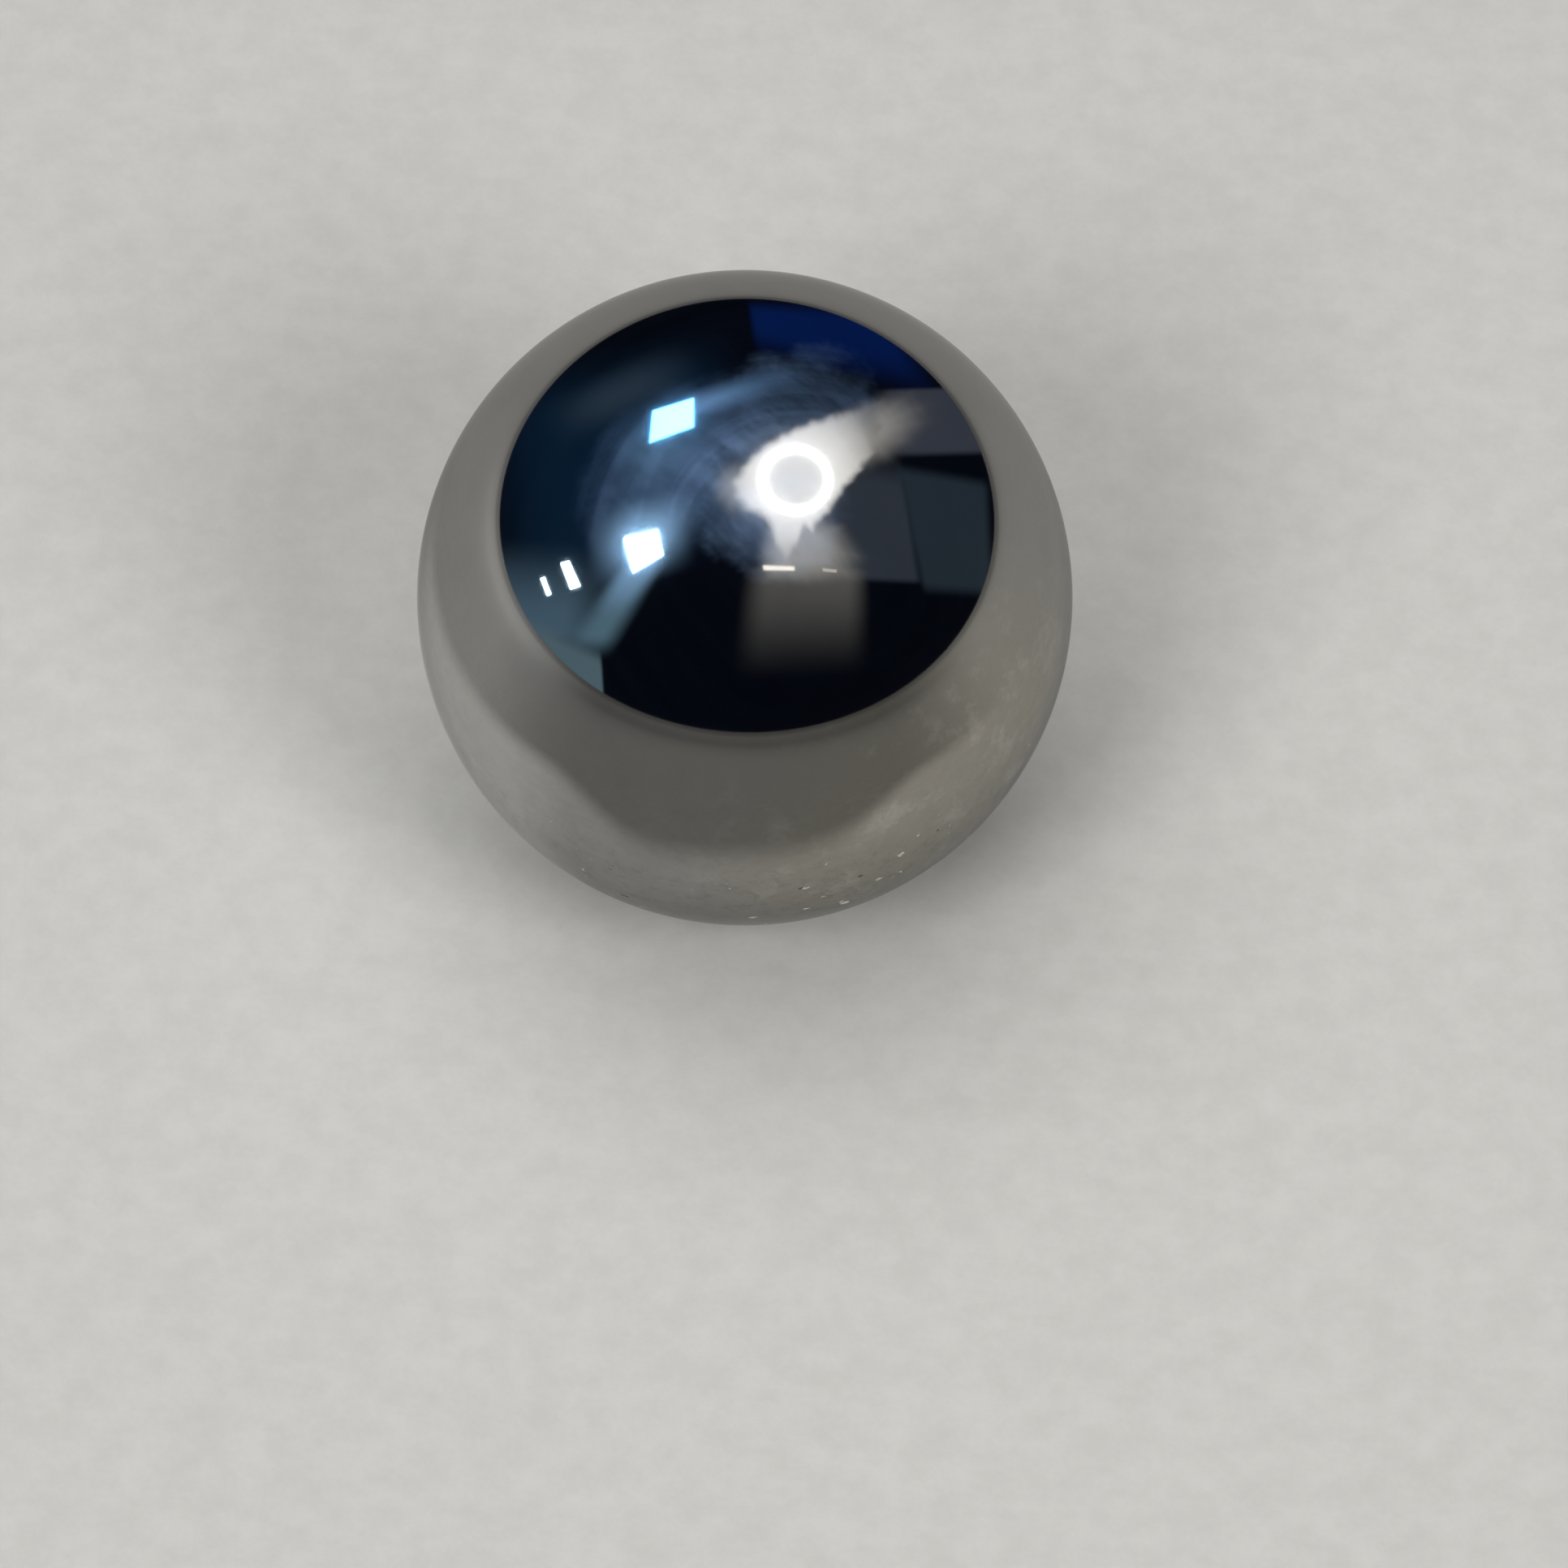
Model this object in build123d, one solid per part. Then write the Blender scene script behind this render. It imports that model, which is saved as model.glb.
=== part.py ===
from build123d import *

import os

# A solid steel ball, ground and lapped as one piece. Sizes are in millimetres.
# The origin is the ball's centre, with +Z up.

# Driving dimension
BALL_DIAMETER = 25.4  # one inch, a stock size for steel balls

# Where the part is written
PARTS_FOLDER = "parts"


def make_ball() -> Part:
    """The whole ball: a true sphere about the origin, with no bore, flat or seam."""
    ball = Sphere(radius=BALL_DIAMETER / 2)
    ball.label = "ball"
    return ball


def main() -> None:
    """Builds the ball and writes it as the part's only node."""
    os.makedirs(PARTS_FOLDER, exist_ok=True)
    ball = make_ball()
    export_step(ball, os.path.join(PARTS_FOLDER, f"{ball.label}.step"))


if __name__ == "__main__":
    main()
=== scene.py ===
"""Looks of a mirror-polished steel ball, on a pale floor, under the studio lamps that it mirrors.

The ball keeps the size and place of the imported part. Lengths are in metres. A name that ends in _radii
counts ball radii, and one that ends in _px is a pixel of the square photograph frame.
"""

import logging
import math
from dataclasses import dataclass
from enum import Enum
from typing import Any, ClassVar, Mapping, Optional, Union

import bpy
import numpy as np
from mathutils import Matrix, Vector


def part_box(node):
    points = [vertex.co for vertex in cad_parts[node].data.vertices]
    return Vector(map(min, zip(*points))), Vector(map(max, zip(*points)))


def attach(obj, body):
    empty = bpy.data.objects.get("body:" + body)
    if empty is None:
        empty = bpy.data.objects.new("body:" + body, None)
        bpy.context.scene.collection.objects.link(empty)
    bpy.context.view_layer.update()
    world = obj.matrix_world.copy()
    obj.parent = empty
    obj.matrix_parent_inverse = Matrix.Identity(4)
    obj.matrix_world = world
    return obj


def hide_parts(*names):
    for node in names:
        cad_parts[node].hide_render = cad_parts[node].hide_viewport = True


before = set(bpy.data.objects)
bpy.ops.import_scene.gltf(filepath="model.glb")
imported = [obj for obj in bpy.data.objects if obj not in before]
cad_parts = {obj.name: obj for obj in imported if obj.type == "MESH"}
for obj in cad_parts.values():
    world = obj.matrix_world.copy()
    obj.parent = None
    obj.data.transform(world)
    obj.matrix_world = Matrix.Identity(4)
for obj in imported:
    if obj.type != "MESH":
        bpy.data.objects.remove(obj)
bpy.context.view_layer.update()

Triple = tuple[float, float, float]
Pixel = tuple[float, float]
Key = Union[int, str]

LOG = logging.getLogger("steel_ball")
BALL_NODE = "ball"
BALL_BODY = "root"
BAKE_MAP = "OFBake"
GRID_MAP = "grid"
FRAME_MAP = "frame_px"
ACROSS = (1.0, 0.0, 0.0)
ALONG = (0.0, 1.0, 0.0)
UPWARD = (0.0, 0.0, 1.0)
LEVEL = (1.0, 1.0, 0.0)
BALL_CENTRE_RADII = (0.0, 0.0, 0.0)
BALL_FOOT_RADII = (0.0, 0.0, -1.0)
NOISE_MIDDLE = 0.5

BLACK = (0.0, 0.0, 0.0)
WHITE = (1.0, 0.985, 0.96)
WARM = (1.0, 0.93, 0.84)
COOL = (0.60, 0.85, 1.0)
SKY = (0.34, 0.62, 1.0)
BLUE = (0.12, 0.42, 1.0)


class Shade:
    """A node socket that takes part in Python sums: each sum adds the node that works it out."""

    # Several sockets of a Mix node share a name, so its colours go by number
    MIX_FIRST: ClassVar[int] = 6
    MIX_SECOND: ClassVar[int] = 7
    MIX_RESULT: ClassVar[int] = 2

    def __init__(self, sheet: "NodeSheet", socket: Optional[bpy.types.NodeSocket]) -> None:
        """Keeps the socket and the sheet that its sums are drawn on."""
        self.sheet = sheet
        self.socket = socket

    @property
    def is_vector(self) -> bool:
        """True for a colour or a vector, which a Math node would turn grey."""
        return self.socket.type in ("VECTOR", "RGBA")

    def other(self, output: Key) -> "Shade":
        """Another output of the same node."""
        return Shade(self.sheet, self.socket.node.outputs[output])

    def _sum(self, operation: str, first: Any, second: Any) -> "Shade":
        """Adds one node for a sum of two terms.

        Args:
            operation: The node's operation, such as ADD.
            first: A shade, a number or a triple.
            second: A shade, a number or a triple.

        Returns:
            The sum's result.
        """
        terms = (first, second)
        numbers = [isinstance(t, (int, float)) for t in terms]
        flat = all(n or (isinstance(t, Shade) and not t.is_vector) for n, t in zip(numbers, terms))
        settings = {"operation": operation}
        if flat:
            return self.sheet.node("ShaderNodeMath", settings, {0: first, 1: second})
        spread = [(t, t, t) if n else t for n, t in zip(numbers, terms)]
        return self.sheet.node("ShaderNodeVectorMath", settings, dict(enumerate(spread)))

    def __add__(self, other: Any) -> "Shade":
        """self + other"""
        return self._sum("ADD", self, other)

    def __radd__(self, other: Any) -> "Shade":
        """other + self"""
        return self._sum("ADD", other, self)

    def __sub__(self, other: Any) -> "Shade":
        """self - other"""
        return self._sum("SUBTRACT", self, other)

    def __rsub__(self, other: Any) -> "Shade":
        """other - self"""
        return self._sum("SUBTRACT", other, self)

    def __mul__(self, other: Any) -> "Shade":
        """self * other"""
        return self._sum("MULTIPLY", self, other)

    def __rmul__(self, other: Any) -> "Shade":
        """other * self"""
        return self._sum("MULTIPLY", other, self)

    def dot(self, other: Any) -> "Shade":
        """The scalar product of two vectors."""
        settings = {"operation": "DOT_PRODUCT"}
        return self.sheet.node("ShaderNodeVectorMath", settings, {0: self, 1: other}, "Value")

    def rise(self, low: float, high: float) -> "Shade":
        """A smooth step.

        Args:
            low: Where the step is 0.
            high: Where it is 1. It may lie under low, which turns the step round.

        Returns:
            A value from 0 to 1.
        """
        turned = high < low
        edges = {"From Min": min(low, high), "From Max": max(low, high)}
        ends = {"To Min": float(turned), "To Max": float(not turned)}
        settings = {"interpolation_type": "SMOOTHSTEP", "clamp": True}
        sockets = {"Value": self, **edges, **ends}
        return self.sheet.node("ShaderNodeMapRange", settings, sockets, "Result")

    def blend(self, first: Any, second: Any) -> "Shade":
        """A mix of two colours. This is the share that the second has in it.

        Args:
            first: A colour or a shade.
            second: A colour or a shade.

        Returns:
            The mixed colour.
        """
        sockets = {"Factor": self, self.MIX_FIRST: first, self.MIX_SECOND: second}
        return self.sheet.node("ShaderNodeMix", {"data_type": "RGBA"}, sockets, self.MIX_RESULT)


class NodeSheet:
    """A node tree, and the one method that adds nodes to it."""

    def __init__(self, tree: bpy.types.NodeTree) -> None:
        """Starts with an empty tree."""
        self.tree = tree
        tree.nodes.clear()

    def plug(self, socket: bpy.types.NodeSocket, value: Any) -> None:
        """Links a shade to a socket, or sets the socket to a constant.

        Args:
            socket: The input to feed.
            value: A shade, a number, a triple or a colour.
        """
        if isinstance(value, Shade):
            self.tree.links.new(value.socket, socket)
        elif socket.type == "RGBA" and len(value) == 3:
            socket.default_value = (*value, 1.0)
        else:
            socket.default_value = value

    def node(
        self,
        kind: str,
        settings: Optional[Mapping[str, Any]] = None,
        sockets: Optional[Mapping[Key, Any]] = None,
        output: Key = 0,
    ) -> Shade:
        """Adds a node.

        Args:
            kind: Blender's name for the node's type.
            settings: Properties, which are set before the sockets.
            sockets: A value or a shade for each input, by name or number.
            output: The output to go on with, by name or number.

        Returns:
            The chosen output, or an empty shade for a node that ends the tree.
        """
        made = self.tree.nodes.new(kind)
        for name, value in (settings or {}).items():
            setattr(made, name, value)
        for key, value in (sockets or {}).items():
            self.plug(made.inputs[key], value)
        return Shade(self, made.outputs[output] if made.outputs else None)

    def object_place(self) -> Shade:
        """The surface's own coordinates, in metres from the frame's origin."""
        return self.node("ShaderNodeTexCoord", output="Object")

    def map_place(self, name: str) -> Shade:
        """The surface's place on one of its texture maps."""
        return self.node("ShaderNodeUVMap", {"uv_map": name})

    def end(self, surface: Shade, kind: str = "ShaderNodeOutputMaterial") -> None:
        """Ends the tree with its output."""
        self.node(kind, sockets={"Surface": surface})


def new_material(name: str) -> tuple[bpy.types.Material, NodeSheet]:
    """Makes a material with an empty node tree.

    Args:
        name: Its name.

    Returns:
        The material, and its nodes.
    """
    material = bpy.data.materials.new(name)
    material.use_nodes = True
    return material, NodeSheet(material.node_tree)


@dataclass(frozen=True)
class Grain:
    """Cloudy noise, drawn out so that it goes from 0 to 1 between two of its levels."""

    scale: float
    detail: float
    roughness: float
    low: float
    high: float

    def on(self, place: Shade) -> Shade:
        """Reads the noise.

        Args:
            place: Where to read it. The scale counts clouds in one unit of it.

        Returns:
            A value from 0 to 1.
        """
        fineness = {"Scale": self.scale, "Detail": self.detail, "Roughness": self.roughness}
        noise = place.sheet.node("ShaderNodeTexNoise", sockets={"Vector": place, **fineness})
        return noise.rise(self.low, self.high)


@dataclass(frozen=True)
class Cap:
    """A cap of the ball: its share goes from 0 to 1 between two heights along an axis, in ball radii."""

    axis: Triple
    start: float
    full: float

    def on(self, place: Shade, waver: Union[Shade, float] = 0.0) -> Shade:
        """Works out how far a place lies in the cap.

        Args:
            place: Surface coordinates in ball radii.
            waver: How far the cap's edge strays there.

        Returns:
            A value from 0 to 1.
        """
        return (place.dot(self.axis) + waver).rise(self.start, self.full)


@dataclass(frozen=True)
class OiledMirrorSteel:
    """Lapped steel under a wiped film of oil, with dirt and a little dust low down.

    The film is a thin rough coat with a milky veil. It spreads each lamp into a haze. Most of it lies
    in one smudge that a cloth has wiped in arcs, and in two feathered smears beside it. One side of the
    ball is dirtier, with pale residue and more dust, and it also has a painted warm reflection: a straw
    tint of its steel. Scales count features in one ball radius.
    """

    steel: Triple = (0.49, 0.485, 0.47)
    stained_steel: Triple = (0.45, 0.45, 0.445)
    edge_tint: Triple = (0.75, 0.75, 0.75)
    polish_roughness: float = 0.04
    stains: Grain = Grain(3.1, 4.0, 0.6, 0.35, 0.70)

    film_roughness_added: float = 0.05
    film_veil: float = 0.138
    coat_roughness: float = 0.20
    coat_refraction: float = 1.7
    smudge: Cap = Cap((-0.103, -0.380, 0.919), 0.905, 1.01)
    smudge_foot: Cap = Cap((-0.622, 0.594, 0.510), 0.19, 0.34)
    smear: Cap = Cap((0.060, -0.405, 0.912), 0.958, 0.995)
    high_smear: Cap = Cap((0.185, -0.046, 0.981), 0.970, 0.999)
    high_smear_share: float = 0.42
    far_side: Cap = Cap((0.030, -0.356, 0.934), 0.15, -0.35)
    clouds: Grain = Grain(3.2, 4.0, 0.6, 0.0, 1.0)
    edge_waver: float = 0.06
    thin_film: float = 0.01
    far_film: float = 0.5
    far_clouds: Grain = Grain(2.3, 4.0, 0.6, 0.45, 0.65)

    wipe_axis: Triple = (0.200, -0.541, 0.817)
    wipe_drift: float = 0.9
    wipe_fineness: float = 22.0
    wipe_marks: Grain = Grain(1.0, 3.0, 0.55, 0.36, 0.64)
    wipe_depth: float = 0.45
    stroke_axis: Triple = (0.680, -0.554, -0.475)
    stroke_shortening: float = 0.80
    strokes: Grain = Grain(11.0, 6.0, 0.70, 0.32, 0.68)
    stroke_depth: float = 0.35
    smear_stroke_depth: float = 0.6

    # One side has real dirt (pale residue, more dust) and a painted warm reflection: the straw tint of
    # its steel
    dirt_and_warm_reflection_side: Cap = Cap((0.650, -0.750, -0.118), 0.55, 0.95)
    painted_warm_reflection_steel: Triple = (0.505, 0.487, 0.43)
    residue: Triple = (0.64, 0.622, 0.56)
    residue_marks: Grain = Grain(7.0, 6.0, 0.72, 0.50, 0.70)
    dusty_side: Cap = Cap(UPWARD, 0.10, -0.30)
    grime: Triple = (0.40, 0.388, 0.355)
    grime_marks: Grain = Grain(26.0, 4.0, 0.65, 0.46, 0.72)
    faint_dust: Triple = (0.40, 0.385, 0.345)
    dust: Triple = (0.62, 0.60, 0.545)
    dark_dust: Triple = (0.10, 0.095, 0.08)
    dark_chance: tuple[float, float] = (0.80, 0.84)
    dust_roughness: float = 0.85
    dust_clumps: Grain = Grain(2.6, 2.0, 0.5, 0.36, 0.60)
    dust_scale: float = 18.0
    speck_size: float = 0.27
    speck_edge: float = 0.05
    speck_bend: float = 0.035
    speck_bend_scale: float = 55.0

    def wiped(self, place: Shade) -> Shade:
        """Broad arcs left by the turning cloth: noise that changes fast along an axis, slowly round it.

        Args:
            place: Surface coordinates in ball radii.

        Returns:
            A value that is high where film is left and low where it is wiped thin.
        """
        outward = place.dot(self.wipe_axis) * self.wipe_fineness
        return self.wipe_marks.on(place * self.wipe_drift + outward * self.wipe_axis)

    def feathered(self, place: Shade) -> Shade:
        """Feathered strokes: noise drawn out along the way that the cloth's edge went.

        Args:
            place: Surface coordinates in ball radii.

        Returns:
            A value that is high where film is left and low where the cloth has parted it.
        """
        along = place.dot(self.stroke_axis) * self.stroke_shortening
        return self.strokes.on(place - along * self.stroke_axis)

    def film(self, place: Shade) -> Shade:
        """How much oil lies at a place.

        Args:
            place: Surface coordinates in ball radii.

        Returns:
            A value from 0, wiped bare, to 1, full film.
        """
        waver = (self.clouds.on(place) - NOISE_MIDDLE) * self.edge_waver
        smudge = self.smudge.on(place, waver) * self.smudge_foot.on(place, waver)
        smear = self.smear.on(place, waver)
        smear = smear + self.high_smear_share * self.high_smear.on(place, waver) * (1.0 - smear)
        near_film = smudge + smear * (1.0 - smudge)
        far_film = self.far_film * self.far_side.on(place) * self.far_clouds.on(place)
        spread = self.thin_film + (1.0 - self.thin_film) * near_film + far_film
        depth = self.stroke_depth + (self.smear_stroke_depth - self.stroke_depth) * smear
        parted = 1.0 - depth * (1.0 - self.feathered(place))
        return spread * parted * (1.0 - self.wipe_depth * (1.0 - self.wiped(place)))

    def specks(self, place: Shade) -> tuple[Shade, Shade]:
        """Dust specks on the lower flank: dots about scattered points, a few of them dark.

        They lie in clumps, and more evenly on the dirty side. Fine noise bends each dot, so it is ragged.

        Args:
            place: Surface coordinates in ball radii.

        Returns:
            A value that is 1 on a speck and 0 between specks, and the speck's colour.
        """
        sockets = {"Vector": place, "Scale": self.speck_bend_scale}
        bend = place.sheet.node("ShaderNodeTexNoise", sockets=sockets, output="Color")
        bent = place + (bend - NOISE_MIDDLE) * self.speck_bend
        sockets = {"Vector": bent, "Scale": self.dust_scale}
        distance = place.sheet.node("ShaderNodeTexVoronoi", sockets=sockets)
        draw = distance.other("Color")
        bare = (1.0 - self.dust_clumps.on(place)) * (1.0 - self.dirt_and_warm_reflection_side.on(place))
        dusty = self.dusty_side.on(place) * (1.0 - bare)
        reach = self.speck_size * dusty * draw.dot(ACROSS)
        pale = draw.dot(UPWARD).blend(self.faint_dust, self.dust)
        colour = draw.dot(ALONG).rise(*self.dark_chance).blend(pale, self.dark_dust)
        return (reach - distance).rise(0.0, self.speck_edge), colour

    def metal(self, place: Shade) -> Shade:
        """The steel's colour, faintly stained, with dirt and a painted warm reflection on one side, and
        mottled grime low down.

        Args:
            place: Surface coordinates in ball radii.

        Returns:
            A colour.
        """
        clean = self.stains.on(place).blend(self.steel, self.stained_steel)
        dirty = self.dirt_and_warm_reflection_side.on(place)
        # Painted warm reflection: the steel on one side takes a straw tint
        tinted = dirty.blend(clean, self.painted_warm_reflection_steel)
        marked = (dirty * self.residue_marks.on(place)).blend(tinted, self.residue)
        grimy = self.dusty_side.on(place) * self.grime_marks.on(place)
        return grimy.blend(marked, self.grime)

    def make(self, name: str, radius: float) -> bpy.types.Material:
        """Makes the material.

        Args:
            name: Its name.
            radius: The ball's radius.

        Returns:
            The material.
        """
        material, sheet = new_material(name)
        place = sheet.object_place() * (1.0 / radius)
        film = self.film(place)
        specks, dust = self.specks(place)
        polish = self.polish_roughness + self.film_roughness_added * film
        surface = sheet.node(
            "ShaderNodeBsdfPrincipled",
            sockets={
                "Base Color": specks.blend(self.metal(place), dust),
                "Metallic": (1.0 - specks) * (1.0 - self.film_veil * film),
                "Roughness": polish + (self.dust_roughness - polish) * specks,
                "Specular Tint": self.edge_tint,
                "Coat Weight": film,
                "Coat Roughness": self.coat_roughness,
                "Coat IOR": self.coat_refraction,
            },
        )
        sheet.end(surface)
        return material


@dataclass(frozen=True)
class PaleFloor:
    """A plain pale floor with a faint mottle. Its scale counts clouds in one metre."""

    light: Triple = (0.66, 0.655, 0.635)
    dark: Triple = (0.60, 0.595, 0.575)
    mottle: Grain = Grain(650.0, 6.0, 0.72, 0.25, 0.75)
    roughness: float = 0.9
    gloss: float = 0.1

    def make(self, name: str) -> bpy.types.Material:
        """Makes the material.

        Args:
            name: Its name.

        Returns:
            The material.
        """
        material, sheet = new_material(name)
        place = sheet.object_place()
        shade = self.mottle.on(place).blend(self.dark, self.light)
        sockets = {"Base Color": shade, "Roughness": self.roughness, "Specular IOR Level": self.gloss}
        sheet.end(sheet.node("ShaderNodeBsdfPrincipled", sockets=sockets))
        return material


@dataclass(frozen=True)
class LampGlow:
    """The glow of a lamp's face, even or fading out towards the face's edges.

    A face's texture place runs from 0 to 1 along it and across it. The fades are shares of that: at the
    two ends along, then at the two ends across. A share of 0 is a sharp edge.
    """

    colour: Triple
    strength: float = 1.0
    fades: tuple[float, float, float, float] = (0.0, 0.0, 0.0, 0.0)

    def make(self, name: str) -> bpy.types.Material:
        """Makes the material.

        Args:
            name: Its name.

        Returns:
            The material.
        """
        material, sheet = new_material(name)
        sockets = {"Color": self.colour, "Strength": self.strength}
        surface = sheet.node("ShaderNodeEmission", sockets=sockets)
        if any(self.fades):
            place = sheet.map_place(GRID_MAP)
            first = place.dot(ACROSS)
            second = place.dot(ALONG)
            solid = 1.0
            for end, fade in zip((first, 1.0 - first, second, 1.0 - second), self.fades):
                if fade > 0:
                    solid = end.rise(0.0, fade) * solid
            clear = sheet.node("ShaderNodeBsdfTransparent")
            surface = sheet.node("ShaderNodeMixShader", sockets={0: solid, 1: clear, 2: surface})
        sheet.end(surface)
        return material


@dataclass(frozen=True)
class SailGlow:
    """The glow of a pale sail, brightest at its centre, creased and with a feathered edge.

    A sail's first texture place is the share of the way out to its edge, and the distance from its
    centre. The second is the pixel, counted from its centre.
    """

    colour: Triple
    strength: float
    near_px: float
    far_px: float
    far_share: float
    fade: float
    rim_share: float = 0.5
    feather: float = 0.07
    crease_depth: float = 0.14
    crease_way: Pixel = (0.50, 0.87)
    crease_length_px: float = 90.0
    crease_width_px: float = 17.0
    creases: Grain = Grain(1.0, 4.0, 0.6, 0.30, 0.70)

    def make(self, name: str) -> bpy.types.Material:
        """Makes the material.

        Args:
            name: Its name.

        Returns:
            The material.
        """
        material, sheet = new_material(name)
        place = sheet.map_place(GRID_MAP)
        share = place.dot(ACROSS)
        distance = place.dot(ALONG)
        creases = self.creased(sheet)
        lit = self.far_share + (1.0 - self.far_share) * distance.rise(self.far_px, self.near_px)
        depth = self.crease_depth * distance.rise(self.near_px, self.far_px)
        glow = (lit * (1.0 - depth * creases)).blend(BLACK, self.colour)
        lamp = sheet.node("ShaderNodeEmission", sockets={"Color": glow, "Strength": self.strength})
        clear = sheet.node("ShaderNodeBsdfTransparent")
        frayed = share + self.feather * (creases - NOISE_MIDDLE) * share
        rim = 1.0 - self.fade * self.rim_share
        solid = frayed.rise(1.0, 1.0 - self.fade) * share.rise(1.0, rim)
        sheet.end(sheet.node("ShaderNodeMixShader", sockets={0: solid, 1: clear, 2: lamp}))
        return material

    def creased(self, sheet: NodeSheet) -> Shade:
        """Creases: noise drawn out along one way of the frame.

        Args:
            sheet: The material's nodes.

        Returns:
            A value from 0, between creases, to 1, in a crease.
        """
        place = sheet.map_place(FRAME_MAP)
        right, down = self.crease_way
        along = place.dot((right / self.crease_length_px, down / self.crease_length_px, 0.0))
        across = place.dot((down / self.crease_width_px, -right / self.crease_width_px, 0.0))
        drawn_out = sheet.node("ShaderNodeCombineXYZ", sockets={"X": along, "Y": across})
        return self.creases.on(drawn_out)


# Painted shadow: a sheet that darkens the floor in the ball's mirror, most of all in front of the ball
@dataclass(frozen=True)
class PaintedShadowVeil:
    """A painted shadow: a grey veil over the floor that only mirrors show. It is thinnest near the ball
    and to its left, and thickest in front of it.

    What is passed is a share of the light. Places count ball radii from the ball's foot.
    """

    near_passed: float = 0.67
    near_left_passed: float = 1.0
    far_passed: float = 0.64
    far_front_passed: float = 0.32
    horizon_left_gain: float = 0.35
    horizon_front_loss: float = 0.42
    left: tuple[float, float] = (-0.68, -0.99)
    front: tuple[float, float] = (-0.05, -0.75)
    near_edge: tuple[float, float] = (2.3, 3.0)
    near_front: tuple[float, float] = (-0.60, -0.97)
    front_nearer: float = 1.0
    right_further: float = 0.25
    horizon: tuple[float, float] = (5.0, 20.0)

    def passed(self, place: Shade) -> Shade:
        """Works out how much light the veil lets through.

        Args:
            place: Coordinates in ball radii.

        Returns:
            A share from 0 to 1.
        """
        ground = place * LEVEL
        settings = {"operation": "NORMALIZE"}
        way = place.sheet.node("ShaderNodeVectorMath", settings, {0: ground})
        reach = ground.dot(way)
        rightward = way.dot(ACROSS)
        left = rightward.rise(*self.left)
        backward = way.dot(ALONG)
        front = backward.rise(*self.front)
        horizon = reach.rise(*self.horizon)
        near = self.near_passed + (self.near_left_passed - self.near_passed) * left
        swing = self.horizon_left_gain * left - self.horizon_front_loss * front
        open_floor = self.far_passed + (self.far_front_passed - self.far_passed) * front
        far = open_floor * (1.0 + swing * horizon)
        nearer = self.front_nearer * backward.rise(*self.near_front)
        bent_reach = reach + nearer - self.right_further * rightward
        return near + (far - near) * bent_reach.rise(*self.near_edge)

    def make(self, name: str, radius: float) -> bpy.types.Material:
        """Makes the material.

        Args:
            name: Its name.
            radius: The ball's radius.

        Returns:
            The material.
        """
        material, sheet = new_material(name)
        passed = self.passed(sheet.object_place() * (1.0 / radius))
        dark = sheet.node("ShaderNodeBsdfTransparent", sockets={"Color": BLACK})
        clear = sheet.node("ShaderNodeBsdfTransparent")
        sheet.end(sheet.node("ShaderNodeMixShader", sockets={0: passed, 1: dark, 2: clear}))
        return material


def unit_grid(rows: int, columns: int) -> np.ndarray:
    """Two shares that go from 0 to 1 along a grid's rows and its columns.

    Args:
        rows: How many points there are one way.
        columns: How many there are the other way.

    Returns:
        Shares, as rows by columns by 2.
    """
    shares = np.linspace(0, 1, rows), np.linspace(0, 1, columns)
    return np.stack(np.meshgrid(*shares, indexing="ij"), axis=-1)


def mesh_object(
    name: str, points: np.ndarray, quads: np.ndarray, maps: Mapping[str, np.ndarray]
) -> bpy.types.Object:
    """Makes a smooth mesh of quads.

    Args:
        name: The object's name.
        points: Points, as a list by 3.
        quads: Corner numbers, as quads by 4.
        maps: Texture places by map, each as quads by 4 by 2.

    Returns:
        The object, linked to the scene.
    """
    mesh = bpy.data.meshes.new(name)
    mesh.from_pydata(points, [], quads, shade_flat=False)
    for map_name, place in maps.items():
        layer = mesh.uv_layers.new(name=map_name)
        layer.uv.foreach_set("vector", place.astype(np.float32).ravel())
    made = bpy.data.objects.new(name, mesh)
    bpy.context.scene.collection.objects.link(made)
    return made


def surface_object(
    name: str,
    points: np.ndarray,
    closed: bool = False,
    maps: Optional[Mapping[str, np.ndarray]] = None,
) -> bpy.types.Object:
    """Makes a smooth sheet of quads through a grid of points.

    Args:
        name: The object's name.
        points: Points, as rows by columns by 3.
        closed: True where the last column joins the first.
        maps: Texture places by map, each as rows by columns by 2.

    Returns:
        The object, linked to the scene.
    """
    rows, columns = points.shape[:2]
    index = np.arange(rows * columns).reshape(rows, columns)
    if closed:
        index = np.concatenate([index, index[:, :1]], axis=1)
    corners = [index[:-1, :-1], index[1:, :-1], index[1:, 1:], index[:-1, 1:]]
    quads = np.stack(corners, axis=-1).reshape(-1, 4)
    places = {key: place.reshape(-1, 2)[quads] for key, place in (maps or {}).items()}
    return mesh_object(name, points.reshape(-1, 3), quads, places)


def leave_to_mirrors(made: bpy.types.Object) -> None:
    """Hides a thing of the stage from the camera and from matt surfaces, so that only mirrors show it.

    Args:
        made: The thing.
    """
    made.visible_camera = False
    made.visible_diffuse = False
    made.visible_shadow = False


class CubeFace(Enum):
    """The six faces of a cube: each has the directions of its two edges, and its outward direction."""

    RIGHT = ((0, 1, 0), (0, 0, 1), (1, 0, 0))
    LEFT = ((0, -1, 0), (0, 0, 1), (-1, 0, 0))
    BACK = ((-1, 0, 0), (0, 0, 1), (0, 1, 0))
    FRONT = ((1, 0, 0), (0, 0, 1), (0, -1, 0))
    TOP = ((1, 0, 0), (0, 1, 0), (0, 0, 1))
    UNDER = ((1, 0, 0), (0, -1, 0), (0, 0, -1))


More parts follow.
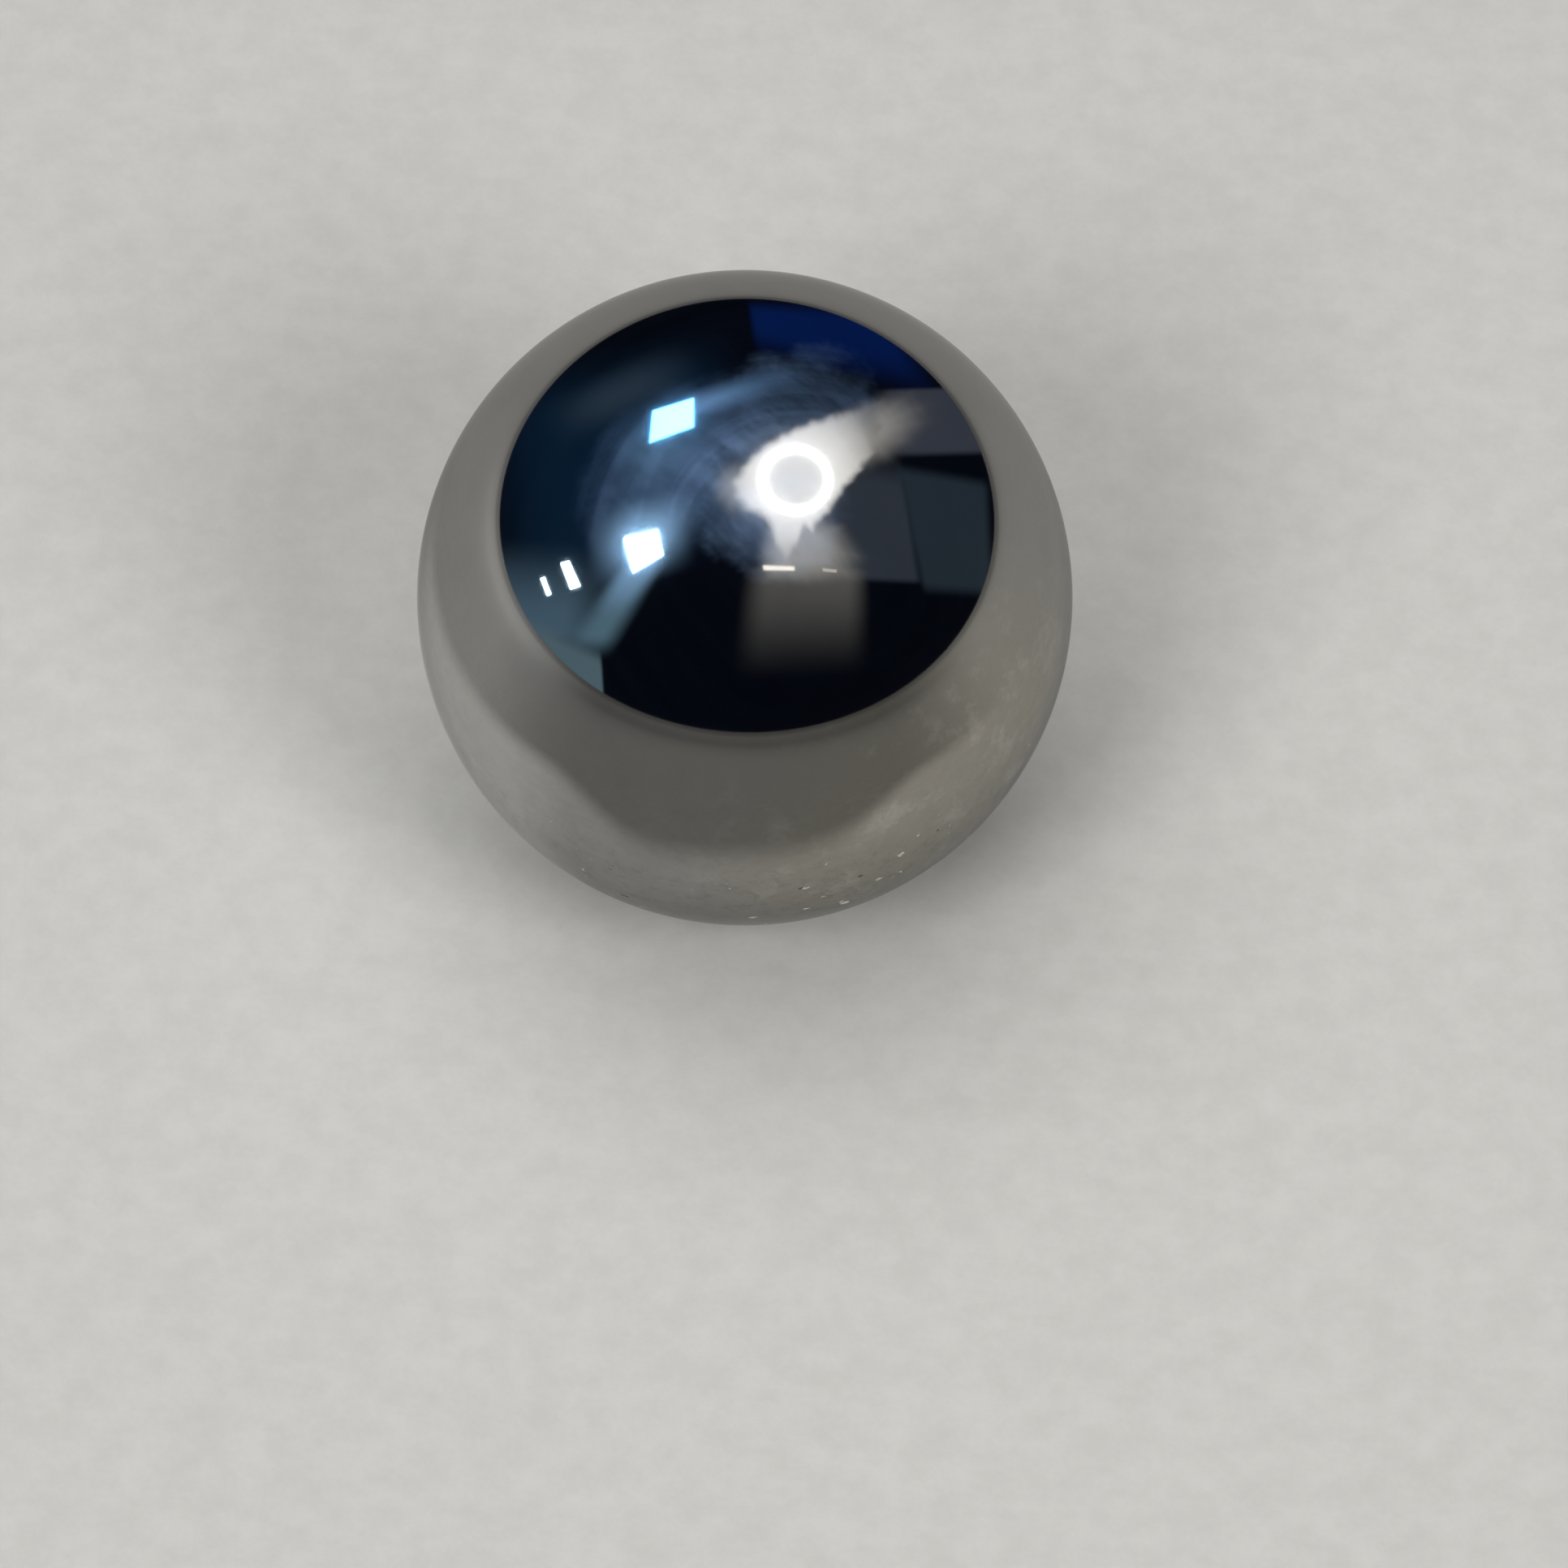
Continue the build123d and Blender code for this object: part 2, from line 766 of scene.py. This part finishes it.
@dataclass
class Ball:
    """The steel ball: one true sphere about the origin, fine enough to mirror without facets."""

    radius: float
    cells: int = 120
    weld_share: float = 1e-5
    tiles: tuple[int, int] = (3, 2)
    tile_margin: float = 0.01

    def points(self) -> np.ndarray:
        """Works out the sphere as six square grids.

        Each grid has two angles, a and b, from -45 to 45 degrees. A point of a cube's face lies tan a
        along one edge, tan b along the other and 1 outwards, and is then drawn in to the sphere's radius.

        Returns:
            Points, as faces by rows by columns by 3.
        """
        angle = np.linspace(-np.pi / 4, np.pi / 4, self.cells + 1)
        a, b = np.meshgrid(angle, angle, indexing="ij")
        flat = np.stack([np.tan(a), np.tan(b), np.ones_like(a)], axis=-1)
        axes = np.array([face.value for face in CubeFace], float)
        cube = np.einsum("ijk,fkl->fijl", flat, axes)
        return self.radius * cube / np.linalg.norm(cube, axis=-1, keepdims=True)

    def quads(self) -> tuple[np.ndarray, np.ndarray]:
        """Works out the corners of every quad, and their places on the texture.

        The six grids lie on the texture as tiles, side by side, with a margin round each.

        Returns:
            Corner numbers, as quads by 4, and texture places, as quads by 4 by 2.
        """
        side = self.cells + 1
        first = np.arange(self.cells)
        face, i, j = np.meshgrid(np.arange(len(CubeFace)), first, first, indexing="ij")
        step_i = np.array([0, 1, 1, 0])
        step_j = np.array([0, 0, 1, 1])
        corner_i = i[..., None] + step_i
        corner_j = j[..., None] + step_j
        number = (face[..., None] * side + corner_i) * side + corner_j
        across = self.tile_margin + (1 - 2 * self.tile_margin) * corner_i / self.cells
        upward = self.tile_margin + (1 - 2 * self.tile_margin) * corner_j / self.cells
        column = face[..., None] % self.tiles[0]
        row = face[..., None] // self.tiles[0]
        place = np.stack([(column + across) / self.tiles[0], (row + upward) / self.tiles[1]], axis=-1)
        return number.reshape(-1, 4), place.reshape(-1, 4, 2)

    def build(self, name: str) -> bpy.types.Object:
        """Builds the ball's mesh, with the edges of its six grids welded.

        Args:
            name: The piece's name.

        Returns:
            The piece.
        """
        points = self.points().reshape(-1, 3)
        number, place = self.quads()
        key = np.round(points / (self.radius * self.weld_share)).astype(np.int64)
        _, kept, welded = np.unique(key, axis=0, return_index=True, return_inverse=True)
        return mesh_object(name, points[kept], welded.reshape(-1)[number], {BAKE_MAP: place})

    def dress(self, piece: bpy.types.Object, finish: OiledMirrorSteel) -> None:
        """Gives the ball its finish, and puts it in the place of the CAD node.

        Args:
            piece: The ball's object.
            finish: Its finish.
        """
        piece.data.materials.append(finish.make("oiled_mirror_steel", self.radius))
        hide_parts(BALL_NODE)
        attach(piece, BALL_BODY)


@dataclass(frozen=True)
class Viewpoint:
    """Where the camera stands, and how the ball lies in its frame.

    The ball is a mirror, so each pixel on it also names a direction in the room, which mirrored() gives.
    """

    ball_radius: float
    elevation_deg: float = 49.4
    roll_deg: float = 1.8
    distance_radii: float = 60.0
    frame_px: float = 1932.0
    ball_centre_px: Pixel = (917.7, 736.4)
    ball_radius_px: float = 403.8
    sensor_mm: float = 36.0

    def axes(self) -> np.ndarray:
        """Works out the camera's own directions.

        Returns:
            Three rows: right, up, and back from the object to the camera.
        """
        tilt = math.radians(self.elevation_deg)
        roll = math.radians(self.roll_deg)
        level = np.array([1.0, 0.0, 0.0])
        upright = np.array([0.0, math.sin(tilt), math.cos(tilt)])
        back = np.array([0.0, -math.cos(tilt), math.sin(tilt)])
        right = math.cos(roll) * level + math.sin(roll) * upright
        up = math.cos(roll) * upright - math.sin(roll) * level
        return np.stack([right, up, back])

    def on_plane(self, pixels: np.ndarray) -> np.ndarray:
        """Finds pixels on the plane through the ball's centre that faces the camera.

        Args:
            pixels: Pixels, as any shape by 2.

        Returns:
            Points, as that shape by 3.
        """
        right, up, _ = self.axes()
        offset = np.asarray(pixels, float) - self.ball_centre_px
        metres = offset * self.ball_radius / self.ball_radius_px
        return metres[..., :1] * right - metres[..., 1:] * up

    def place(self) -> np.ndarray:
        """The camera's own place, straight back from the middle of the frame."""
        middle = np.full(2, self.frame_px / 2)
        return self.on_plane(middle) + self.axes()[2] * self.distance_radii * self.ball_radius

    def mirrored(self, pixels: np.ndarray, reach: float) -> np.ndarray:
        """Finds what the ball mirrors at given pixels.

        A ray from the camera through the pixel meets the sphere at the nearer root of a quadratic. It
        leaves as the ray less twice its part along the surface's normal.

        Args:
            pixels: Pixels on the ball, as any shape by 2.
            reach: How far to follow the mirrored ray.

        Returns:
            Points at that distance from the ball's surface, as that shape by 3.
        """
        eye = self.place()
        ray = self.on_plane(pixels) - eye
        ray /= np.linalg.norm(ray, axis=-1, keepdims=True)
        along = -(ray @ eye)
        inside = along**2 - eye @ eye + self.ball_radius**2
        hit = eye + (along - np.sqrt(np.maximum(inside, 0.0)))[..., None] * ray
        normal = hit / self.ball_radius
        leaving = ray - 2 * np.sum(ray * normal, axis=-1, keepdims=True) * normal
        return hit + reach * leaving

    def make_camera(self) -> None:
        """Makes the scene's camera."""
        data = bpy.data.cameras.new("camera")
        data.sensor_width = self.sensor_mm
        half = self.frame_px / 2 * self.ball_radius / self.ball_radius_px
        data.lens = self.sensor_mm / 2 * self.distance_radii * self.ball_radius / half
        camera = bpy.data.objects.new("camera", data)
        camera.matrix_world = Matrix(self.axes()).transposed().to_4x4()
        camera.location = Vector(self.place())
        bpy.context.scene.collection.objects.link(camera)
        bpy.context.scene.camera = camera


@dataclass(frozen=True, kw_only=True)
class Lamp:
    """A glowing face, given by the pixels at which the ball mirrors it."""

    name: str
    glow: Union[LampGlow, SailGlow]
    behind_radii: float = 0.0
    closed: ClassVar[bool] = False

    def pixels(self) -> np.ndarray:
        """The face's grid in the frame, as rows by columns by 2."""
        raise NotImplementedError

    def maps(self) -> dict[str, np.ndarray]:
        """Texture places by map: here the grid's own, from 0 to 1 both ways."""
        return {GRID_MAP: unit_grid(*self.pixels().shape[:2])}


@dataclass(frozen=True, kw_only=True)
class Panel(Lamp):
    """A softbox or a card with four corners, which are given in turn round its edge."""

    corners_px: tuple[Pixel, Pixel, Pixel, Pixel]
    cells: int = 24

    def pixels(self) -> np.ndarray:
        """Works out the panel's grid in the frame.

        With shares u and v from 0 to 1, a pixel is the mean of the four corners, weighted by u or 1 - u
        and by v or 1 - v.

        Returns:
            Pixels, as rows by columns by 2.
        """
        u, v = np.moveaxis(unit_grid(self.cells + 1, self.cells + 1), -1, 0)
        weights = np.stack([(1 - u) * (1 - v), u * (1 - v), u * v, (1 - u) * v], axis=-1)
        return weights @ np.array(self.corners_px)


@dataclass(frozen=True, kw_only=True)
class RingLamp(Lamp):
    """A ring of light, or its middle, between the two ellipses of its rims."""

    centre_px: Pixel
    inner_px: Pixel
    outer_px: Pixel
    cells: tuple[int, int] = (4, 96)
    closed: ClassVar[bool] = True

    def pixels(self) -> np.ndarray:
        """Works out the ring's grid in the frame.

        A pixel lies at an angle round the centre, at a share of the way from the inner rim to the outer.

        Returns:
            Pixels, as rows by columns by 2. The last column is next to the first.
        """
        share = np.linspace(0.0, 1.0, self.cells[0] + 1)
        turn = np.linspace(0.0, 2 * np.pi, self.cells[1], endpoint=False)
        s, t = np.meshgrid(share, turn, indexing="ij")
        rims = np.array(self.inner_px) * (1 - s[..., None]) + np.array(self.outer_px) * s[..., None]
        return np.array(self.centre_px) + rims * np.stack([np.cos(t), np.sin(t)], axis=-1)


@dataclass(frozen=True, kw_only=True)
class Sail(Lamp):
    """A pale sail of thin cloth, stretched between its corners."""

    centre_px: Pixel
    corners_px: tuple[Pixel, ...]
    hollow: float = 0.03
    cells: tuple[int, int] = (12, 12)
    closed: ClassVar[bool] = True

    def pixels(self) -> np.ndarray:
        """Works out the sail's grid in the frame.

        An edge is a parabola from corner to corner, drawn in towards the centre at its middle by a share
        of the way there. The grid runs from the centre out to the edges.

        Returns:
            Pixels, as rows by columns by 2. The last column is next to the first.
        """
        centre = np.array(self.centre_px)
        corner = np.array(self.corners_px) - centre
        share = np.linspace(0.0, 1.0, self.cells[1], endpoint=False)[None, :, None]
        chord = corner[:, None] * (1 - share) + np.roll(corner, -1, axis=0)[:, None] * share
        outline = chord * (1 - 4 * self.hollow * share * (1 - share))
        outward = np.linspace(0.0, 1.0, self.cells[0] + 1)[:, None, None]
        return centre + outward * outline.reshape(1, -1, 2)

    def maps(self) -> dict[str, np.ndarray]:
        """Works out the sail's texture places.

        Returns:
            The share of the way out with the distance from the centre, and the pixel from the centre.
        """
        offset = self.pixels() - np.array(self.centre_px)
        far = np.linalg.norm(offset, axis=-1)
        share = np.linspace(0.0, 1.0, self.cells[0] + 1)[:, None]
        outward = np.stack([np.broadcast_to(share, far.shape), far], axis=-1)
        return {GRID_MAP: outward, FRAME_MAP: offset}


@dataclass(frozen=True)
class SoftLight:
    """A broad round lamp that isn't mirrored. It lights everything, or one piece alone."""

    name: str
    place_radii: Triple
    power: float
    size_radii: float
    colour: Triple = WHITE
    aim_radii: Triple = BALL_FOOT_RADII
    piece_alone: bool = False

    def make(self, radius: float, piece: bpy.types.Object) -> None:
        """Makes the lamp.

        Args:
            radius: The ball's radius.
            piece: The piece that it may light alone.
        """
        data = bpy.data.lights.new(self.name, "AREA")
        data.shape = "DISK"
        data.color = self.colour
        data.energy = self.power
        data.size = self.size_radii * radius
        lamp = bpy.data.objects.new(self.name, data)
        place = Vector(self.place_radii) * radius
        aim = Vector(self.aim_radii) * radius
        lamp.matrix_world = Matrix.LocRotScale(place, (aim - place).to_track_quat("-Z", "Y"), None)
        lamp.visible_glossy = False
        if self.piece_alone:
            lit = bpy.data.collections.new(self.name)
            lit.objects.link(piece)
            lamp.light_linking.receiver_collection = lit
        bpy.context.scene.collection.objects.link(lamp)


@dataclass
class Studio:
    """The floor and its veil of painted shadow, the lamps and the dark walls round the ball."""

    radius: float
    floor_height: float
    view: Viewpoint
    lamp_reach_radii: float = 130.0
    floor_flat_radii: float = 92.0
    floor_edge_radii: float = 126.0
    floor_lip_radii: float = 3.0
    floor_cells: int = 160
    painted_shadow_lift_radii: float = 0.005
    walls: Triple = (0.002, 0.003, 0.007)

    def floor_points(self) -> np.ndarray:
        """Works out the floor as heights on a square grid.

        The floor is flat out to one distance from the ball, and rises by a smooth step to a low lip at
        another, so that a low camera sees the lip and not the end of the floor.

        Returns:
            Points, as rows by columns by 3.
        """
        side = np.linspace(-1.0, 1.0, self.floor_cells + 1) * self.floor_edge_radii * self.radius
        x, y = np.meshgrid(side, side, indexing="ij")
        span = self.floor_edge_radii - self.floor_flat_radii
        climb = np.clip((np.hypot(x, y) / self.radius - self.floor_flat_radii) / span, 0.0, 1.0)
        lip = self.floor_lip_radii * self.radius * climb**2 * (3 - 2 * climb)
        return np.stack([x, y, self.floor_height + lip], axis=-1)

    def lay_floor(self, finish: PaleFloor) -> None:
        """Lays the floor under the ball.

        Args:
            finish: The floor's finish.
        """
        floor = surface_object("floor", self.floor_points())
        floor.data.materials.append(finish.make("pale_floor"))

    def spread_painted_shadow(self, cloth: PaintedShadowVeil) -> None:
        """Spreads a veil of painted shadow just over the floor, which the ball mirrors and nothing else
        meets.

        Args:
            cloth: The finish of the veil of painted shadow.
        """
        lifted = self.floor_points() + np.array(UPWARD) * self.painted_shadow_lift_radii * self.radius
        veil = surface_object("veil", lifted)
        veil.data.materials.append(cloth.make("veil", self.radius))
        leave_to_mirrors(veil)

    def hang(self, lamp: Lamp) -> None:
        """Hangs a lamp where the ball mirrors it at its pixels.

        Args:
            lamp: The lamp.
        """
        reach = (self.lamp_reach_radii + lamp.behind_radii) * self.radius
        points = self.view.mirrored(lamp.pixels(), reach)
        made = surface_object(lamp.name, points, lamp.closed, lamp.maps())
        made.data.materials.append(lamp.glow.make(lamp.name))
        leave_to_mirrors(made)

    def paint_walls(self) -> None:
        """Makes the studio's walls dark."""
        world = bpy.data.worlds.new("studio_walls")
        world.use_nodes = True
        bpy.context.scene.world = world
        sheet = NodeSheet(world.node_tree)
        back = sheet.node("ShaderNodeBackground", sockets={"Color": self.walls})
        sheet.end(back, "ShaderNodeOutputWorld")


RING_CENTRE_PX = (980, 591)
RING_OUTER_PX = (47, 44)
RING_INNER_PX = (35, 31.5)
NO_RIM_PX = (0.01, 0.01)
SOFT_ALL_ROUND = (0.5, 0.5, 0.5, 0.5)

# The ring lamp and its middle
RING: tuple[Lamp, ...] = (
    RingLamp(
        name="ring_lamp",
        centre_px=RING_CENTRE_PX,
        inner_px=RING_INNER_PX,
        outer_px=RING_OUTER_PX,
        glow=LampGlow(WHITE, 18.0, fades=(0.45, 0.45, 0.0, 0.0)),
    ),
    RingLamp(
        name="ring_middle",
        centre_px=RING_CENTRE_PX,
        inner_px=NO_RIM_PX,
        outer_px=RING_INNER_PX,
        glow=LampGlow(WHITE, 1.4),
    ),
)

# The pale sail round the ring, with its fan, its hem and the glow at its near end
SAILS: tuple[Lamp, ...] = (
    Sail(
        name="sail",
        centre_px=RING_CENTRE_PX,
        corners_px=(
            (893, 595), (898, 615), (912, 632), (932, 641), (945, 653), (953, 680),
            (966, 708), (982, 680), (992, 654), (1004, 664), (1012, 648), (1027, 635),
            (1042, 610), (1056, 594), (1070, 578), (1088, 554), (1098, 518), (1092, 488),
            (1030, 502), (1001, 512), (980, 521), (961, 529), (935, 545), (921, 559),
            (908, 574),
        ),
        glow=SailGlow(WHITE, strength=1.6, near_px=44.0, far_px=134.0, far_share=0.15, fade=0.24),
        behind_radii=2.0,
    ),
    Sail(
        name="sail_fan",
        centre_px=(1066, 531),
        corners_px=(
            (1038, 604), (1074, 592), (1108, 580), (1142, 552), (1176, 516), (1178, 484),
            (1140, 468), (1100, 472), (1064, 482), (1024, 500), (1016, 544),
        ),
        glow=SailGlow(WHITE, strength=0.54, near_px=10.0, far_px=110.0, far_share=0.26, fade=0.95),
        behind_radii=3.0,
    ),
    Sail(
        name="sail_hem",
        centre_px=(985, 672),
        corners_px=(
            (932, 648), (962, 626), (1012, 624), (1054, 640), (1084, 690), (1074, 726),
            (1000, 732), (930, 728), (920, 690),
        ),
        glow=SailGlow(WHITE, strength=0.56, near_px=15.0, far_px=95.0, far_share=0.5, fade=0.7),
        behind_radii=4.0,
    ),
    Sail(
        name="sail_halo",
        centre_px=(905, 600),
        corners_px=(
            (866, 592), (872, 622), (896, 652), (930, 652), (950, 600), (935, 562),
            (905, 554), (880, 566),
        ),
        glow=SailGlow(WHITE, strength=0.42, near_px=10.0, far_px=60.0, far_share=0.3, fade=1.0),
        behind_radii=4.5,
    ),
)

# Softboxes, strips and bars, all with sharp edges
SHARP_LAMPS: tuple[Lamp, ...] = (
    Panel(
        name="upper_softbox",
        corners_px=((804, 506), (855, 490), (855, 526), (800, 546)),
        glow=LampGlow((1.70, 7.0, 15.0)),
    ),
    Panel(
        name="lower_softbox",
        corners_px=((769, 663), (810, 653), (817, 684), (780, 706)),
        glow=LampGlow(SKY, 48.0),
    ),
    Panel(
        name="wide_strip",
        corners_px=((691, 694), (701, 691), (715, 722), (703, 726)),
        glow=LampGlow(COOL, 24.0),
    ),
    Panel(
        name="narrow_strip",
        corners_px=((666, 713), (671, 711), (679, 732), (674, 734)),
        glow=LampGlow(COOL, 20.0),
    ),
    Panel(
        name="long_bar",
        corners_px=((940, 696.5), (979, 698), (979, 703), (941, 702.5)),
        glow=LampGlow(WARM, 2.2),
    ),
    Panel(
        name="short_bar",
        corners_px=((1013, 700), (1031, 702), (1031, 705.5), (1014, 704)),
        glow=LampGlow(WARM, 0.95),
    ),
)

# What spreads from the two softboxes
HALOS: tuple[Lamp, ...] = (
    Panel(
        name="upper_streak",
        corners_px=((836, 484), (994, 430), (1008, 476), (846, 526)),
        glow=LampGlow((0.16, 0.33, 0.62), fades=(0.05, 0.9, 0.5, 0.5)),
        behind_radii=1.0,
    ),
    Panel(
        name="upper_halo",
        corners_px=((748, 518), (872, 470), (882, 584), (742, 622)),
        glow=LampGlow((0.05, 0.11, 0.18), fades=SOFT_ALL_ROUND),
        behind_radii=4.0,
    ),
    Panel(
        name="lower_flare",
        corners_px=((764, 688), (720, 760), (770, 770), (832, 684)),
        glow=LampGlow(SKY, fades=(0.0, 0.9, 0.4, 0.42)),
        behind_radii=1.0,
    ),
    Panel(
        name="lower_halo",
        corners_px=((714, 624), (866, 590), (862, 704), (722, 742)),
        glow=LampGlow((0.34, 0.62, 0.96), fades=SOFT_ALL_ROUND),
        behind_radii=3.0,
    ),
    Panel(
        name="lower_streak",
        corners_px=((760, 690), (680, 802), (752, 818), (832, 684)),
        glow=LampGlow((0.14, 0.26, 0.35), fades=(0.0, 0.25, 0.45, 0.42)),
        behind_radii=2.0,
    ),
)

# Dim fields of colour
CARDS: tuple[Lamp, ...] = (
    Panel(
        name="blue_card",
        corners_px=((917, 366), (1090, 372), (1190, 512), (926, 440)),
        glow=LampGlow((0.002, 0.016, 0.12), fades=(0.06, 0.2, 0.25, 0.55)),
        behind_radii=8.0,
    ),
    Panel(
        name="teal_card",
        corners_px=((1098, 566), (1222, 588), (1228, 740), (1135, 735)),
        glow=LampGlow((0.030, 0.046, 0.064), fades=(0.12, 0.12, 0.12, 0.12)),
        behind_radii=6.0,
    ),
    Panel(
        name="lilac_card",
        corners_px=((1030, 540), (1112, 560), (1140, 722), (1000, 716)),
        glow=LampGlow((0.048, 0.060, 0.084), fades=(0.3, 0.1, 0.3, 0.06)),
        behind_radii=7.0,
    ),
    Panel(
        name="grey_card",
        corners_px=((914, 694), (1074, 698), (1076, 834), (893, 846)),
        glow=LampGlow((0.155, 0.152, 0.147), fades=(0.25, 0.2, 0.06, 1.0)),
        behind_radii=6.0,
    ),
    Panel(
        name="slate_card",
        corners_px=((1070, 478), (1205, 474), (1232, 562), (1085, 566)),
        glow=LampGlow((0.066, 0.076, 0.106), fades=(0.3, 0.0, 0.08, 0.12)),
        behind_radii=7.5,
    ),
    Panel(
        name="teal_haze",
        corners_px=((600, 656), (780, 668), (750, 800), (630, 812)),
        glow=LampGlow((0.10, 0.18, 0.26), fades=(0.0, 0.5, 0.7, 0.2)),
        behind_radii=5.5,
    ),
    Panel(
        name="teal_corner",
        corners_px=((630, 745), (742, 797), (746, 872), (680, 840)),
        glow=LampGlow((0.135, 0.215, 0.265), fades=(0.0, 0.05, 0.35, 0.0)),
        behind_radii=5.0,
    ),
    Panel(
        name="upper_haze",
        corners_px=((646, 500), (846, 402), (892, 468), (686, 568)),
        glow=LampGlow((0.034, 0.060, 0.095), fades=(0.45, 0.45, 0.5, 0.5)),
        behind_radii=8.0,
    ),
    Panel(
        name="navy_card",
        corners_px=((575, 450), (930, 380), (930, 680), (600, 800)),
        glow=LampGlow((0.005, 0.021, 0.052), fades=(0.3, 0.3, 0.3, 0.3)),
        behind_radii=9.0,
    ),
)

LAMPS = RING + SAILS + SHARP_LAMPS + HALOS + CARDS

# Lamps that light the floor and the ball's film, and that nothing mirrors
SOFT_LIGHTS = (
    SoftLight("key", place_radii=(-45.0, -80.0, 86.0), power=11.0, size_radii=50.0),
    SoftLight("fill", place_radii=(55.0, -72.0, 80.0), power=9.0, size_radii=50.0),
    SoftLight("dome", place_radii=(-20.0, 10.0, 130.0), power=15.0, size_radii=160.0),
    SoftLight(
        "blue_side",
        place_radii=(-25.0, -10.0, 113.0),
        power=82.0,
        size_radii=40.0,
        colour=BLUE,
        aim_radii=BALL_CENTRE_RADII,
        piece_alone=True,
    ),
)


def main() -> None:
    """Builds the ball, then the studio round it and the camera."""
    logging.basicConfig(level=logging.INFO, format="%(message)s")
    low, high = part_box(BALL_NODE)
    radius = (high.z - low.z) / 2
    ball = Ball(radius)
    piece = ball.build("steel_ball")
    ball.dress(piece, OiledMirrorSteel())
    LOG.info("%s: %d faces", piece.name, len(piece.data.polygons))

    view = Viewpoint(radius)
    view.make_camera()
    studio = Studio(radius, low.z, view)
    studio.lay_floor(PaleFloor())
    LOG.info("floor laid")
    for lamp in LAMPS:
        studio.hang(lamp)
        LOG.info("%s hung", lamp.name)
    for light in SOFT_LIGHTS:
        light.make(radius, piece)
        LOG.info("%s set", light.name)
    # Painted shadow on the floor, which only the ball mirrors
    studio.spread_painted_shadow(PaintedShadowVeil())
    LOG.info("veil spread")
    studio.paint_walls()
    bpy.context.scene.view_settings.view_transform = "Standard"


if __name__ == "__main__":
    main()
